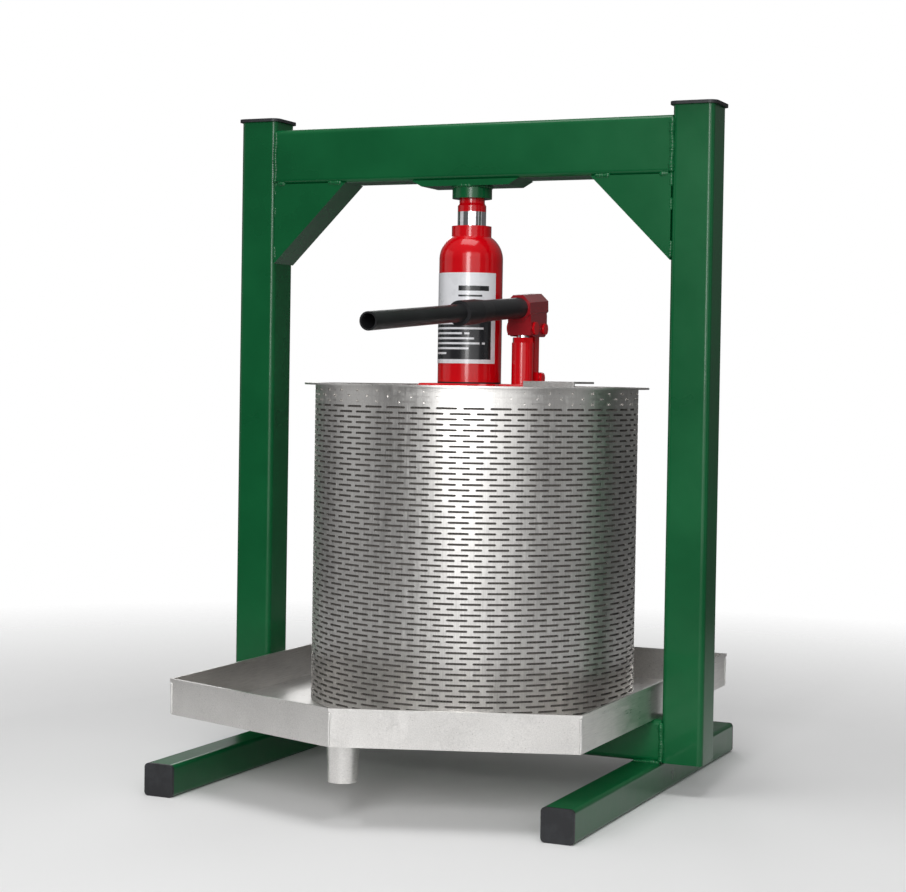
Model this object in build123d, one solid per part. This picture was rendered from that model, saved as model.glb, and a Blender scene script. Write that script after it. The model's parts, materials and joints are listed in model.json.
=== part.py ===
from build123d import *
import os
from math import cos, radians

# Cider and fruit press: a welded steel gantry, a slotted stainless basket standing in a
# pointed juice tray, and a hydraulic bottle jack that drives a round plate into the basket.
# Millimetres. +Z is up and the front is -Y. Each piece is drawn around the press axis, the
# upright line through the jack and the basket. all_parts() then moves the whole press along
# Y, so that the origin is on the floor in the middle of its overall width and length.

# ---- Gantry ---------------------------------------------------------------------------
INNER_GAP = 420.0  # between the inner faces of the uprights
UPRIGHT = 40.0  # side of the square tube of the uprights and the bottom beam
UPRIGHT_TOP = 644.0  # height of the uprights' top ends
TUBE_WALL = 2.5
TUBE_CORNER = 5.0  # outer corner radius of the square tube
TOP_BEAM_HEIGHT = 55.0
TOP_BEAM_DROP = 9.0  # top of the beam below the uprights' top ends
GUSSET_LEG = 80.0
GUSSET_SHEET = 3.0
DOUBLER_TOP_LENGTH = 113.0
DOUBLER_BOTTOM_LENGTH = 92.0
DOUBLER_THICKNESS = 6.0
LOWER_DOUBLER_LENGTH = 120.0
LOWER_DOUBLER_THICKNESS = 5.0

# ---- Feet and plastic caps ------------------------------------------------------------
FOOT = 30.0  # side of the foot tube
FOOT_WALL = 2.0
FOOT_CORNER = 4.0
FOOT_FRONT = 248.0  # front end of a foot with its cap, ahead of the press axis
FOOT_BACK = 224.0  # back end of a foot with its cap, behind the press axis
CAP_FLANGE = 3.0
CAP_OVERHANG = 3.0  # of an upright's cap over its tube
CAP_PLUG = 15.0
CAP_PLUG_WALL = 1.5
CAP_FIT = 0.1
SMALLEST_CORNER = 0.2  # least inner corner radius that a tube section is drawn with
THROUGH = 1.0  # how far a cutter runs past the face that it opens
PLACE_DECIMALS = 1  # of the millimetre figure for where the press axis stands

# ---- Tray and spout -------------------------------------------------------------------
TRAY_HALF_WIDTH = 204.0  # over the rim's lip
TRAY_BACK = 216.0
TRAY_SHOULDER = 216.0  # where the straight sides end, ahead of the press axis
TRAY_APEX = 289.0  # tip of the pointed front, ahead of the press axis
TRAY_HEIGHT = 33.5
TRAY_SHEET = 1.5
TRAY_LIP = 1.2  # how far the folded lip stands out
TRAY_LIP_HEIGHT = 3.0
SPOUT_PLACE = 260.0  # spout axis, ahead of the press axis
SPOUT_BORE_RADIUS = 11.5
SPOUT_TOP_RADIUS = 14.5
SPOUT_END_RADIUS = 13.0
SPOUT_LENGTH = 34.0

# ---- Basket and pressing plate --------------------------------------------------------
BASKET_PLACE = (4.0, 10.0)  # the basket and its plate stand loose, a little off the press axis
BASKET_RADIUS = 159.0
BASKET_SHEET = 1.5
BASKET_RIM_HEIGHT = 380.0  # top of the rim above the floor
BASKET_SEAT_GAP = 0.3  # between the tray's floor and the basket's lower edge
RIM_FLANGE_WIDTH = 10.5  # of the rim ring, outside the basket
RIM_SHEET = 1.8
RIM_LEG = 16.5  # height of the ring's leg inside the basket
RIM_LEG_THICKNESS = 1.5
RIM_LEG_GAP = 0.1
SLEEVE_SHEET = 0.6
SLEEVE_GAP = 0.3  # between the sleeve and the basket's wall
SLEEVE_HEADROOM = 1.0  # between the sleeve's top and the leg of the rim ring
PLATE_GAP = 2.9  # between the plate's edge and the leg of the rim ring
PLATE_THICKNESS = 4.0
PLATFORM_LENGTH = 252.0
PLATFORM_WIDTH = 102.0
PLATFORM_HEIGHT = 27.0
PLATFORM_SHEET = 3.0
CLIP_START = 70.0  # inner end of the clip's web, beside the press axis
CLIP_LENGTH = 52.0
CLIP_SHEET = 2.0
CLIP_FRONT = 32.0  # front face of the clip's web
CLIP_BACK = 23.0  # back edge of the clip's flange
CLIP_FLANGE_INSET = 2.0  # the flange starts this far from the web's inner end
CLIP_GAP = 1.5  # between the clip's flange and the toe of the jack's base

# ---- Ram and screw --------------------------------------------------------------------
SADDLE_RADIUS = 14.0
SADDLE_NECK_RADIUS = 12.5
SADDLE_STEP = 6.0  # height of the saddle's full-width part
SADDLE_TAPER = 2.5
SADDLE_SHOWING = 13.0  # of the saddle below its socket
SOCKET_RADIUS = 19.5
SOCKET_HEIGHT = 11.5
SOCKET_GAP = 0.5
SCREW_RADIUS = 7.0
SCREW_LENGTH = 70.0
SCREW_FIT = 0.1
SCREW_END_GAP = 2.0
RAM_RADIUS = 14.0
RAM_LENGTH = 146.5
RAM_SHOWING = 14.0  # of the ram above the neck nut
PISTON_HEIGHT = 5.0
PISTON_SEAL_HEIGHT = 3.0
PISTON_SPIGOT_RADIUS = 9.0
RUNNING_FIT = 0.1  # radial gap of a sliding or turning fit

# ---- Jack body ------------------------------------------------------------------------
JACK_BODY_RADIUS = 31.25
JACK_BODY_SHEET = 2.5
JACK_BODY_STRAIGHT = 120.0  # straight part of the reservoir
JACK_SHOULDER = 22.0  # height of its domed shoulder
JACK_NECK_RADIUS = 19.5
JACK_NECK_STEP = 1.0  # short straight edge over the shoulder
CYLINDER_BORE_RADIUS = 17.0
CYLINDER_WALL = 4.0
CYLINDER_HEADROOM = 21.0  # from the cylinder's top to the top of the reservoir
NECK_NUT_HEIGHT = 9.5
NECK_NUT_SKIRT = 29.0
NECK_FIT = 0.05
WIPER_WIDTH = 2.5
WIPER_HEIGHT = 2.5
BASE_SIDE = 84.0
BASE_HEIGHT = 16.5
BASE_CORNER = 14.0
BASE_ROUND = 2.0
TOE_END = 80.0  # end of the base's toe, beside the press axis
TOE_FRONT = 22.0
TOE_BACK = 36.0
TOE_CORNER = 6.0
GASKET_HEIGHT = 1.5
FILLER_HEIGHT = 112.0  # filler plug above the base's top
FILLER_RADIUS = 4.0
FILLER_HEAD_RADIUS = 6.5
FILLER_HEAD_HEIGHT = 3.0
FILLER_GAP = 0.15
LABEL_THICKNESS = 0.25
LABEL_GAP = 0.05
LABEL_BOTTOM = 19.5  # above the base's top
LABEL_HEIGHT = 88.0
LABEL_ANGLE = 148.0
VALVE_PLACE = 24.0  # release valve, beside the press axis
VALVE_RADIUS = 4.0
VALVE_DEPTH = 20.0
VALVE_END_GAP = 1.0
VALVE_HEAD_RADIUS = 6.5
VALVE_HEAD_LENGTH = 10.0
VALVE_SLOT = 2.0
VALVE_SLOT_DEPTH = 4.0
BALL_RADIUS = 3.5
BALL_POCKET_RADIUS = 4.5
BALL_POCKET_DEPTH = 12.0
BALL_PLUG_HEIGHT = 5.0
BALL_PLACE = (30.0, 14.0)

# ---- Pump, link and handle ------------------------------------------------------------
PUMP_PLACE = 56.0  # pump axis, beside the press axis
PUMP_RADIUS = 10.5
PUMP_PISTON_RADIUS = 6.0
PUMP_HEIGHT = 40.5
GLAND_HEIGHT = 5.0
GLAND_CORNER_RADIUS = 10.5
PUMP_FLOOR_GAP = 5.5  # below the pump piston at rest
PUMP_SEAL_HEIGHT = 4.0
PUMP_SPIGOT_RADIUS = 4.0
PUMP_SEAL_GAP = 0.05
EYE_RADIUS = 5.0
EYE_HALF_WIDTH = 5.5
PIN_HEIGHT = 54.5  # of the two upper pins above the base's top
PIN_RADIUS = 3.0
PIN_HEAD_LENGTH = 2.2
LINK_OFFSET = 25.0  # of the link behind the pump's axis
LINK_LOW_PIN_HEIGHT = 6.5  # above the base's top
LINK_WIDTH = 10.0
LINK_EYE_RADIUS = 6.0
LINK_PIN_HEAD_RADIUS = 5.5
LOW_PIN_HEAD_RADIUS = 5.0
PISTON_PIN_HEAD_RADIUS = 6.4
PISTON_PIN_SLACK = 1.7  # radial slack of the piston's pin in the handle socket's ears
LUG_THICKNESS = 4.7
LUG_GAP = 0.3
LUG_HALF_DEPTH = 9.0
LUG_HEIGHT = 12.0
LUG_CORNER = 5.0
EAR_THICKNESS = 4.0
EAR_TOP_DROP = 1.0  # of the ears' top edges below the socket's middle
EAR_INNER = 8.0  # inner face of a socket's ear from the pump's axis plane
EAR_RADIUS = 8.0
EAR_GAP = 0.3
FORK_WEB = 2.5  # plate that closes the fork in front of the pump's piston
FORK_WEB_LAP = 1.0  # of the web over the ears
FORK_WEB_DROP = 7.0  # of the web below the pins
SOCKET_TILT = 4.0  # degrees that the handle slopes down towards the front
HANDLE_SOCKET_FLATS = 25.0
HANDLE_SOCKET_LENGTH = 50.0
HANDLE_SOCKET_LIFT = 21.0  # of the socket's middle above the pins
HANDLE_SOCKET_SETBACK = 12.0  # of the socket's middle behind the pump's axis
HANDLE_SOCKET_END_WALL = 7.0
HANDLE_SOCKET_CHAMFER = 2.0
LOWER_HANDLE_RADIUS = 10.0
COLLAR_RADIUS = 11.5  # of the lower tube's swollen front end
COLLAR_LENGTH = 34.0
COLLAR_TAPER = 26.0
LOWER_HANDLE_LENGTH = 183.0
HANDLE_WALL = 1.9
UPPER_HANDLE_RADIUS = 8.0
UPPER_HANDLE_LENGTH = 224.0
UPPER_HANDLE_WALL = 1.5
HANDLE_OVERLAP = 40.0  # of the upper tube inside the lower one

# ---- Worked out -----------------------------------------------------------------------
HALF_GAP = INNER_GAP / 2
UPRIGHT_X = HALF_GAP + UPRIGHT / 2
FOOT_X = HALF_GAP - FOOT / 2
BEAM_TOP = UPRIGHT_TOP - TOP_BEAM_DROP
BEAM_BOTTOM = BEAM_TOP - TOP_BEAM_HEIGHT
TRAY_BOTTOM = FOOT + UPRIGHT
TRAY_FLOOR = TRAY_BOTTOM + TRAY_SHEET
BASKET_BOTTOM = TRAY_FLOOR + BASKET_SEAT_GAP
BASKET_INNER = BASKET_RADIUS - BASKET_SHEET
RIM_LEG_INNER = BASKET_INNER - RIM_LEG_GAP - RIM_LEG_THICKNESS
PLATE_RADIUS = RIM_LEG_INNER - PLATE_GAP
SOCKET_TOP = BEAM_BOTTOM - DOUBLER_THICKNESS
SOCKET_BOTTOM = SOCKET_TOP - SOCKET_HEIGHT
RAM_TOP = SOCKET_BOTTOM - SADDLE_SHOWING
RAM_BOTTOM = RAM_TOP - RAM_LENGTH
PISTON_RADIUS = CYLINDER_BORE_RADIUS - RUNNING_FIT
NECK_TOP = RAM_TOP - RAM_SHOWING
RESERVOIR_TOP = NECK_TOP - NECK_NUT_HEIGHT
RESERVOIR_BOTTOM = RESERVOIR_TOP - JACK_NECK_STEP - JACK_SHOULDER - JACK_BODY_STRAIGHT
RESERVOIR_INNER = JACK_BODY_RADIUS - JACK_BODY_SHEET
BASE_TOP = RESERVOIR_BOTTOM - GASKET_HEIGHT
BASE_BOTTOM = BASE_TOP - BASE_HEIGHT
PLATFORM_BOTTOM = BASE_BOTTOM - PLATFORM_HEIGHT
PLATE_BOTTOM = PLATFORM_BOTTOM - PLATE_THICKNESS
CYLINDER_TOP = RESERVOIR_TOP - CYLINDER_HEADROOM
PIN_Z = BASE_TOP + PIN_HEIGHT
LINK_LOW_PIN_Z = BASE_TOP + LINK_LOW_PIN_HEIGHT
EAR_OUTER = EAR_INNER + EAR_THICKNESS
HANDLE_MIDDLE = (PUMP_PLACE, HANDLE_SOCKET_SETBACK, PIN_Z + HANDLE_SOCKET_LIFT)
LOWER_HANDLE_BACK = HANDLE_SOCKET_LENGTH / 2 - HANDLE_SOCKET_END_WALL
LOWER_HANDLE_FRONT = LOWER_HANDLE_BACK - LOWER_HANDLE_LENGTH


# ---- Shared shapes --------------------------------------------------------------------
def square_tube(width, depth, length, wall, corner):
    """A rectangular tube that stands on z = 0."""
    inner_corner = max(corner - wall, SMALLEST_CORNER)
    outside = RectangleRounded(width, depth, corner)
    inside = RectangleRounded(width - 2 * wall, depth - 2 * wall, inner_corner)
    return extrude(outside - inside, length)


def disc(radius, bottom, top):
    """An upright cylinder between two heights."""
    return Pos(0, 0, bottom) * extrude(Circle(radius), top - bottom)


def ring(outer, inner, bottom, top):
    """An upright hollow cylinder between two heights."""
    return Pos(0, 0, bottom) * extrude(Circle(outer) - Circle(inner), top - bottom)


def turned(*lines):
    """The solid that a closed outline of (radius, height) points sweeps about Z."""
    edges = [edge for line in lines for edge in line.edges()]
    return revolve(Plane.XZ * make_face(edges), Axis.Z)


def prism(points, half_depth):
    """A prism along Y with an outline of (x, z) points, centred on y = 0."""
    outline = make_face(Polyline(*points, close=True))
    return extrude(Plane.XZ * outline, half_depth, both=True)


def along_x(shape):
    """Turns a shape built along +Z so that it lies along +X."""
    return Rot(0, 90, 0) * shape


def along_y(shape):
    """Turns a shape built along +Z so that it lies along +Y."""
    return Rot(-90, 0, 0) * shape


def cross_pin(half_length, head_radius):
    """A pin along X, centred on the origin, with a head at each end."""
    shank = disc(PIN_RADIUS, -half_length, half_length)
    heads = [
        disc(head_radius, half_length, half_length + PIN_HEAD_LENGTH),
        disc(head_radius, -half_length - PIN_HEAD_LENGTH, -half_length),
    ]
    return along_x(shank + heads)


# ---- Gantry ---------------------------------------------------------------------------
def upright(side):
    """A post from the level of the feet's tops to the caps; side is -1 or 1."""
    tube = square_tube(UPRIGHT, UPRIGHT, UPRIGHT_TOP - FOOT, TUBE_WALL, TUBE_CORNER)
    return Pos(side * UPRIGHT_X, 0, FOOT) * tube


def cross_beam(height, middle_z):
    """A beam between the uprights' inner faces."""
    tube = square_tube(height, UPRIGHT, INNER_GAP, TUBE_WALL, TUBE_CORNER)
    return Pos(-HALF_GAP, 0, middle_z) * along_x(tube)


def foot(side):
    length = FOOT_FRONT + FOOT_BACK - 2 * CAP_FLANGE
    tube = square_tube(FOOT, FOOT, length, FOOT_WALL, FOOT_CORNER)
    return Pos(side * FOOT_X, CAP_FLANGE - FOOT_FRONT, FOOT / 2) * along_y(tube)


def gusset(side):
    """A boxed corner brace: two triangular cheeks closed by a sloping strip."""
    hollow_leg = GUSSET_LEG - GUSSET_SHEET * 2**0.5

    def triangle(leg):
        corner = side * HALF_GAP
        return [
            (corner, BEAM_BOTTOM),
            (corner - side * leg, BEAM_BOTTOM),
            (corner, BEAM_BOTTOM - leg),
        ]

    outside = prism(triangle(GUSSET_LEG), UPRIGHT / 2)
    return outside - prism(triangle(hollow_leg), UPRIGHT / 2 - GUSSET_SHEET)


def beam_doubler():
    """The plate under the top beam that takes the push of the jack."""
    top, bottom = DOUBLER_TOP_LENGTH / 2, DOUBLER_BOTTOM_LENGTH / 2
    outline = [
        (-top, BEAM_BOTTOM),
        (top, BEAM_BOTTOM),
        (bottom, SOCKET_TOP),
        (-bottom, SOCKET_TOP),
    ]
    return prism(outline, UPRIGHT / 2)


def lower_doubler():
    plate = Box(LOWER_DOUBLER_LENGTH, UPRIGHT, LOWER_DOUBLER_THICKNESS)
    return Pos(0, 0, FOOT - LOWER_DOUBLER_THICKNESS / 2) * plate


def tube_cap(width, wall, corner, overhang):
    """A push-in cap: its flange lies above z = 0 and its hollow plug hangs below."""
    flange_width = width + 2 * overhang
    flange = extrude(RectangleRounded(flange_width, flange_width, corner + overhang), CAP_FLANGE)
    plug_width = width - 2 * (wall + CAP_FIT)
    plug_corner = max(corner - wall - CAP_FIT, 2 * SMALLEST_CORNER)
    plug = square_tube(plug_width, plug_width, CAP_PLUG, CAP_PLUG_WALL, plug_corner)
    return flange + Pos(0, 0, -CAP_PLUG) * plug


def upright_cap(side):
    cap = tube_cap(UPRIGHT, TUBE_WALL, TUBE_CORNER, CAP_OVERHANG)
    return Pos(side * UPRIGHT_X, 0, UPRIGHT_TOP) * cap


def foot_end_caps():
    """The four caps of the feet, flush with their tubes."""
    cap = tube_cap(FOOT, FOOT_WALL, FOOT_CORNER, 0)
    caps = []
    for side in (-1, 1):
        front = Pos(side * FOOT_X, CAP_FLANGE - FOOT_FRONT, FOOT / 2) * Rot(90, 0, 0)
        back = Pos(side * FOOT_X, FOOT_BACK - CAP_FLANGE, FOOT / 2) * Rot(-90, 0, 0)
        caps += [front * cap, back * cap]
    return Compound(caps)


def ram_socket():
    """The cup under the top beam that holds the jack's saddle."""
    return ring(SOCKET_RADIUS, SADDLE_NECK_RADIUS + SOCKET_GAP, SOCKET_BOTTOM, SOCKET_TOP)


def extension_screw():
    """The saddle, held in its socket, with the screw that runs in the ram."""
    step = RAM_TOP + SADDLE_STEP
    shank_end = RAM_TOP - SCREW_LENGTH
    return turned(
        Polyline(
            (0, SOCKET_TOP),
            (SADDLE_NECK_RADIUS, SOCKET_TOP),
            (SADDLE_NECK_RADIUS, step + SADDLE_TAPER),
            (SADDLE_RADIUS, step),
            (SADDLE_RADIUS, RAM_TOP),
            (SCREW_RADIUS, RAM_TOP),
            (SCREW_RADIUS, shank_end),
            (0, shank_end),
            close=True,
        )
    )


# ---- Tray -----------------------------------------------------------------------------
def tray_outline(inset):
    """The pentagon of the tray's rim, drawn in by inset all round."""
    corners = [
        (-TRAY_HALF_WIDTH, TRAY_BACK),
        (-TRAY_HALF_WIDTH, -TRAY_SHOULDER),
        (0, -TRAY_APEX),
        (TRAY_HALF_WIDTH, -TRAY_SHOULDER),
        (TRAY_HALF_WIDTH, TRAY_BACK),
    ]
    outline = make_face(Polyline(*corners, close=True))
    if inset == 0:
        return outline
    return offset(outline, -inset, kind=Kind.INTERSECTION)


def tray_pan():
    rim = TRAY_BOTTOM + TRAY_HEIGHT
    outside = tray_outline(TRAY_LIP)
    inside = tray_outline(TRAY_LIP + TRAY_SHEET)
    pan = Pos(0, 0, TRAY_BOTTOM) * extrude(outside, TRAY_HEIGHT)
    lip = Pos(0, 0, rim - TRAY_LIP_HEIGHT) * extrude(tray_outline(0), TRAY_LIP_HEIGHT)
    hollow = Pos(0, 0, TRAY_FLOOR) * extrude(inside, TRAY_HEIGHT)
    drain = Pos(0, -SPOUT_PLACE, 0) * disc(SPOUT_BORE_RADIUS, TRAY_BOTTOM - THROUGH, TRAY_FLOOR + THROUGH)
    return pan + lip - hollow - drain


def drain_spout():
    """A tapered stub welded under the tray's drain hole."""
    end = TRAY_BOTTOM - SPOUT_LENGTH
    stub = turned(
        Polyline(
            (SPOUT_BORE_RADIUS, TRAY_BOTTOM),
            (SPOUT_TOP_RADIUS, TRAY_BOTTOM),
            (SPOUT_END_RADIUS, end),
            (SPOUT_BORE_RADIUS, end),
            close=True,
        )
    )
    return Pos(0, -SPOUT_PLACE, 0) * stub


# ---- Basket and pressing plate --------------------------------------------------------
def basket_shell():
    """The basket's wall, open at both ends; its slots are left out."""
    wall = ring(BASKET_RADIUS, BASKET_INNER, BASKET_BOTTOM, BASKET_RIM_HEIGHT - RIM_SHEET)
    return Pos(*BASKET_PLACE) * wall


def filter_sleeve():
    """The dark sleeve that lines the wall up to the leg of the rim ring."""
    outer = BASKET_INNER - SLEEVE_GAP
    top = BASKET_RIM_HEIGHT - RIM_SHEET - RIM_LEG - SLEEVE_HEADROOM
    return Pos(*BASKET_PLACE) * ring(outer, outer - SLEEVE_SHEET, BASKET_BOTTOM, top)


def basket_rim_ring():
    """An angle ring: a flange that caps the wall and a leg down its inside."""
    flange_bottom = BASKET_RIM_HEIGHT - RIM_SHEET
    leg_outer = BASKET_INNER - RIM_LEG_GAP
    flange = ring(
        BASKET_RADIUS + RIM_FLANGE_WIDTH, RIM_LEG_INNER, flange_bottom, BASKET_RIM_HEIGHT
    )
    leg = ring(leg_outer, RIM_LEG_INNER, flange_bottom - RIM_LEG, flange_bottom)
    return Pos(*BASKET_PLACE) * (flange + leg)


def pressing_plate():
    return Pos(*BASKET_PLACE) * disc(PLATE_RADIUS, PLATE_BOTTOM, PLATFORM_BOTTOM)


def jack_platform():
    """The channel welded across the plate, open below, that the jack stands on."""
    web_height = PLATFORM_HEIGHT - PLATFORM_SHEET
    top = Pos(0, 0, BASE_BOTTOM - PLATFORM_SHEET / 2)
    channel = top * Box(PLATFORM_LENGTH, PLATFORM_WIDTH, PLATFORM_SHEET)
    for side in (-1, 1):
        web = Box(PLATFORM_LENGTH, PLATFORM_SHEET, web_height)
        y = side * (PLATFORM_WIDTH - PLATFORM_SHEET) / 2
        channel += Pos(0, y, PLATFORM_BOTTOM + web_height / 2) * web
    return channel


def jack_clip():
    """The folded bracket on the platform that hooks over the toe of the jack's base."""
    flange_bottom = BASE_TOP + CLIP_GAP
    top = flange_bottom + CLIP_SHEET
    web = Box(CLIP_LENGTH, CLIP_SHEET, top - BASE_BOTTOM)
    web_x = CLIP_START + CLIP_LENGTH / 2
    web_y = CLIP_SHEET / 2 - CLIP_FRONT
    flange_length = CLIP_LENGTH - CLIP_FLANGE_INSET
    flange = Box(flange_length, CLIP_FRONT + CLIP_BACK, CLIP_SHEET)
    flange_x = CLIP_START + CLIP_LENGTH - flange_length / 2
    flange_y = (CLIP_BACK - CLIP_FRONT) / 2
    return (
        Pos(web_x, web_y, (BASE_BOTTOM + top) / 2) * web
        + Pos(flange_x, flange_y, top - CLIP_SHEET / 2) * flange
    )


# ---- Ram ------------------------------------------------------------------------------
def ram():
    """The ram: bored for the screw, with a spigot for its piston."""
    spigot_top = RAM_BOTTOM + PISTON_HEIGHT + PISTON_SEAL_HEIGHT
    bore_end = RAM_TOP - SCREW_LENGTH - SCREW_END_GAP
    rod = disc(RAM_RADIUS, spigot_top, RAM_TOP) + disc(PISTON_SPIGOT_RADIUS, RAM_BOTTOM, spigot_top)
    return rod - disc(SCREW_RADIUS + SCREW_FIT, bore_end, RAM_TOP + THROUGH)


def ram_piston():
    bottom = RAM_BOTTOM + PISTON_SEAL_HEIGHT
    return ring(PISTON_RADIUS, PISTON_SPIGOT_RADIUS, bottom, bottom + PISTON_HEIGHT)


def piston_cup_seal():
    top = RAM_BOTTOM + PISTON_SEAL_HEIGHT
    return ring(PISTON_RADIUS, PISTON_SPIGOT_RADIUS, RAM_BOTTOM, top)


# ---- Jack body ------------------------------------------------------------------------
def jack_reservoir():
    """The outer shell: a straight wall that closes in a dome around the neck nut."""
    shoulder = RESERVOIR_BOTTOM + JACK_BODY_STRAIGHT
    neck = RESERVOIR_TOP - JACK_NECK_STEP
    bore = CYLINDER_BORE_RADIUS + RUNNING_FIT
    inner_neck = neck - JACK_BODY_SHEET
    lines = [
        Line((JACK_BODY_RADIUS, RESERVOIR_BOTTOM), (JACK_BODY_RADIUS, shoulder)),
        TangentArc((JACK_BODY_RADIUS, shoulder), (JACK_NECK_RADIUS, neck), tangent=(0, 1)),
        Line((JACK_NECK_RADIUS, neck), (JACK_NECK_RADIUS, RESERVOIR_TOP)),
        Line((JACK_NECK_RADIUS, RESERVOIR_TOP), (bore, RESERVOIR_TOP)),
        Line((bore, RESERVOIR_TOP), (bore, inner_neck)),
        TangentArc((RESERVOIR_INNER, shoulder), (bore, inner_neck), tangent=(0, 1)),
        Line((RESERVOIR_INNER, shoulder), (RESERVOIR_INNER, RESERVOIR_BOTTOM)),
        Line((RESERVOIR_INNER, RESERVOIR_BOTTOM), (JACK_BODY_RADIUS, RESERVOIR_BOTTOM)),
    ]
    filler = along_y(disc(FILLER_RADIUS, 0, JACK_BODY_RADIUS + THROUGH))
    return turned(*lines) - Pos(0, 0, BASE_TOP + FILLER_HEIGHT) * filler


def reservoir_gasket():
    return ring(JACK_BODY_RADIUS, RESERVOIR_INNER, BASE_TOP, RESERVOIR_BOTTOM)


def jack_cylinder():
    outer = CYLINDER_BORE_RADIUS + CYLINDER_WALL
    return ring(outer, CYLINDER_BORE_RADIUS, BASE_TOP, CYLINDER_TOP)


def neck_nut():
    """The nut that closes the reservoir and the cylinder and guides the ram."""
    skirt = CYLINDER_BORE_RADIUS - NECK_FIT
    bore = RAM_RADIUS + RUNNING_FIT
    skirt_end = RESERVOIR_TOP - NECK_NUT_SKIRT
    body = ring(JACK_NECK_RADIUS, bore, RESERVOIR_TOP, NECK_TOP)
    body += ring(skirt, bore, skirt_end, RESERVOIR_TOP)
    return body - disc(bore + WIPER_WIDTH, NECK_TOP - WIPER_HEIGHT, NECK_TOP + THROUGH)


def ram_wiper():
    bore = RAM_RADIUS + RUNNING_FIT
    return ring(bore + WIPER_WIDTH, bore, NECK_TOP - WIPER_HEIGHT, NECK_TOP)


def filler_plug():
    """A rubber plug in the back of the reservoir."""
    head = JACK_BODY_RADIUS + FILLER_GAP
    plug = disc(FILLER_RADIUS - NECK_FIT, RESERVOIR_INNER - JACK_BODY_SHEET, head)
    plug += disc(FILLER_HEAD_RADIUS, head, head + FILLER_HEAD_HEIGHT)
    return Pos(0, 0, BASE_TOP + FILLER_HEIGHT) * along_y(plug)


def body_label():
    """A blank sticker round the front of the reservoir."""
    inner = JACK_BODY_RADIUS + LABEL_GAP
    bottom = BASE_TOP + LABEL_BOTTOM
    section = Pos(inner + LABEL_THICKNESS / 2, bottom + LABEL_HEIGHT / 2) * Rectangle(
        LABEL_THICKNESS, LABEL_HEIGHT
    )
    band = revolve(Plane.XZ * section, Axis.Z, revolution_arc=LABEL_ANGLE)
    return Rot(0, 0, -90 - LABEL_ANGLE / 2) * band


def ball_places():
    """Where the two check balls lie, mirrored about the pump's plane."""
    x, y = BALL_PLACE
    return [Pos(x, side * y, 0) for side in (-1, 1)]


def jack_base():
    """The cast foot of the jack, with its toe under the pump and the link's two lugs."""
    block = RectangleRounded(BASE_SIDE, BASE_SIDE, BASE_CORNER)
    toe_start = BASE_SIDE / 2 - BASE_CORNER
    toe_width = TOE_FRONT + TOE_BACK
    toe = Pos((toe_start + TOE_END) / 2, (TOE_BACK - TOE_FRONT) / 2) * RectangleRounded(
        TOE_END - toe_start, toe_width, TOE_CORNER
    )
    base = Pos(0, 0, BASE_BOTTOM) * extrude(block + toe, BASE_HEIGHT)
    base = chamfer(base.faces().sort_by(Axis.Z)[-1].outer_wire().edges(), BASE_ROUND)
    front = -BASE_SIDE / 2
    valve = along_y(disc(VALVE_RADIUS + RUNNING_FIT, front - THROUGH, front + VALVE_DEPTH))
    base -= Pos(VALVE_PLACE, 0, BASE_BOTTOM + BASE_HEIGHT / 2) * valve
    for place in ball_places():
        base -= place * disc(BALL_POCKET_RADIUS, BASE_BOTTOM - THROUGH, BASE_BOTTOM + BALL_POCKET_DEPTH)
    return base + link_lugs()


def link_lugs():
    """The two lugs that carry the link's lower pin, with sloping backs."""
    inner = LINK_WIDTH / 2 + LUG_GAP
    front, back = LINK_OFFSET - LUG_HALF_DEPTH, LINK_OFFSET + LUG_HALF_DEPTH
    top = BASE_TOP + LUG_HEIGHT
    outline = Polyline(
        (front, BASE_TOP),
        (front, top),
        (back - LUG_CORNER, top),
        (back, BASE_TOP),
        close=True,
    )
    lug = extrude(Plane.YZ * make_face(outline), LUG_THICKNESS)
    hole = along_x(disc(PIN_RADIUS, -THROUGH, LUG_THICKNESS + THROUGH))
    pin_hole = Pos(0, LINK_OFFSET, LINK_LOW_PIN_Z) * hole
    lug -= pin_hole
    right = Pos(PUMP_PLACE + inner, 0, 0) * lug
    left = Pos(PUMP_PLACE - inner - LUG_THICKNESS, 0, 0) * lug
    return right + left


def check_balls():
    """Two steel balls in their pockets, resting on the pocket screws."""
    z = BASE_BOTTOM + BALL_PLUG_HEIGHT + BALL_RADIUS
    return Compound([place * Pos(0, 0, z) * Sphere(BALL_RADIUS) for place in ball_places()])


def pocket_screws():
    """The two screws that close the ball pockets from below."""
    plug = disc(BALL_POCKET_RADIUS, BASE_BOTTOM, BASE_BOTTOM + BALL_PLUG_HEIGHT)
    return Compound([place * plug for place in ball_places()])


def release_valve():
    """The screw that lets the oil back; its head has a slot across it."""
    front = -BASE_SIDE / 2
    head_end = front - VALVE_HEAD_LENGTH
    screw = disc(VALVE_RADIUS, front, front + VALVE_DEPTH - VALVE_END_GAP)
    screw += disc(VALVE_HEAD_RADIUS, head_end, front)
    slot = Pos(0, 0, head_end) * Box(2 * (VALVE_HEAD_RADIUS + THROUGH), VALVE_SLOT, 2 * VALVE_SLOT_DEPTH)
    return Pos(VALVE_PLACE, 0, BASE_BOTTOM + BASE_HEIGHT / 2) * along_y(screw - slot)


# ---- Pump -----------------------------------------------------------------------------
def pump_cylinder():
    bore = PUMP_PISTON_RADIUS + RUNNING_FIT
    return Pos(PUMP_PLACE, 0, 0) * ring(PUMP_RADIUS, bore, BASE_TOP, BASE_TOP + PUMP_HEIGHT)


def pump_gland():
    """The six-sided nut on the pump's cylinder."""
    nut = extrude(RegularPolygon(GLAND_CORNER_RADIUS, 6), GLAND_HEIGHT)
    bore = disc(PUMP_PISTON_RADIUS + RUNNING_FIT, -THROUGH, GLAND_HEIGHT + THROUGH)
    return Pos(PUMP_PLACE, 0, BASE_TOP + PUMP_HEIGHT) * (nut - bore)


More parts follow.
